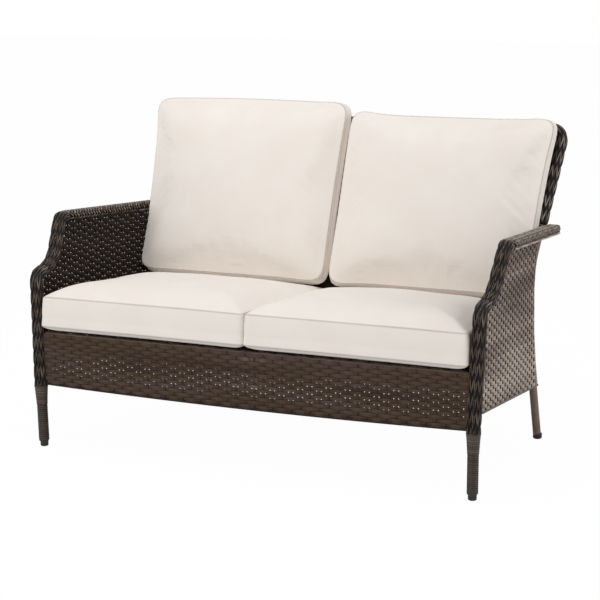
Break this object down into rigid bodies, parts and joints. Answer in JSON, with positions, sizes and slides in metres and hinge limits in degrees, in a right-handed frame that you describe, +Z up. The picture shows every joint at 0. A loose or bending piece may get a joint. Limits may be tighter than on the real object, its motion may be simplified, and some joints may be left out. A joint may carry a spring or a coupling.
{
  "type": "patio loveseat",
  "caption": "Patio loveseat with a steel tube frame covered in woven strand, bent arms on splayed legs, and loose seat and back cushions.",
  "frame": {"origin": "on the ground under the middle of the loveseat", "axes": "+X to the right, +Y to the rear, +Z up"},
  "size_m": [1.3226, 0.783, 0.9181],
  "materials": {
    "frame_steel": "satin powder coat",
    "woven_strand": "woven flat strand",
    "plaited_strand": "plaited strand",
    "wound_strand": "wound strand",
    "foot_plastic": "moulded",
    "cushion_cloth": "plain woven cloth"
  },
  "bodies": {
    "frame": {"left_arm_tube": "frame_steel", "right_arm_tube": "frame_steel", "left_rear_post": "frame_steel", "right_rear_post": "frame_steel", "top_rail": "frame_steel", "seat_front_rail": "frame_steel", "seat_rear_rail": "frame_steel", "left_seat_side_rail": "frame_steel", "right_seat_side_rail": "frame_steel", "left_cross_bar": "frame_steel", "middle_cross_bar": "frame_steel", "right_cross_bar": "frame_steel", "back_rail": "frame_steel", "rear_bottom_rail": "frame_steel", "apron_rail": "frame_steel", "left_side_bottom_rail": "frame_steel", "right_side_bottom_rail": "frame_steel", "front_apron": "woven_strand", "left_side_panel": "woven_strand", "right_side_panel": "woven_strand", "back_panel": "woven_strand", "seat_deck": "woven_strand", "left_front_band": "plaited_strand", "right_front_band": "plaited_strand", "left_arm_top": "plaited_strand", "right_arm_top": "plaited_strand", "left_stile_edge": "plaited_strand", "right_stile_edge": "plaited_strand", "top_edge": "plaited_strand", "left_leg_wrap": "wound_strand", "right_leg_wrap": "wound_strand", "left_leg_collar": "wound_strand", "right_leg_collar": "wound_strand", "left_front_glide": "foot_plastic", "right_front_glide": "foot_plastic", "left_rear_cap": "foot_plastic", "right_rear_cap": "foot_plastic"},
    "left_seat_cushion_body": {"left_seat_cushion": "cushion_cloth"},
    "right_seat_cushion_body": {"right_seat_cushion": "cushion_cloth"},
    "left_back_cushion_body": {"left_back_cushion": "cushion_cloth"},
    "right_back_cushion_body": {"right_back_cushion": "cushion_cloth"}
  },
  "joints": [
    {"name": "left_seat_cushion_lift", "type": "slide", "parent": "frame", "child": "left_seat_cushion_body", "axis": [0, 0, 1], "range_m": [0, 0.3]},
    {"name": "right_seat_cushion_lift", "type": "slide", "parent": "frame", "child": "right_seat_cushion_body", "axis": [0, 0, 1], "range_m": [0, 0.3]},
    {"name": "left_back_cushion_lift", "type": "slide", "parent": "left_seat_cushion_body", "child": "left_back_cushion_body", "axis": [0, 0, 1], "range_m": [0, 0.45]},
    {"name": "right_back_cushion_lift", "type": "slide", "parent": "right_seat_cushion_body", "child": "right_back_cushion_body", "axis": [0, 0, 1], "range_m": [0, 0.45]}
  ]
}
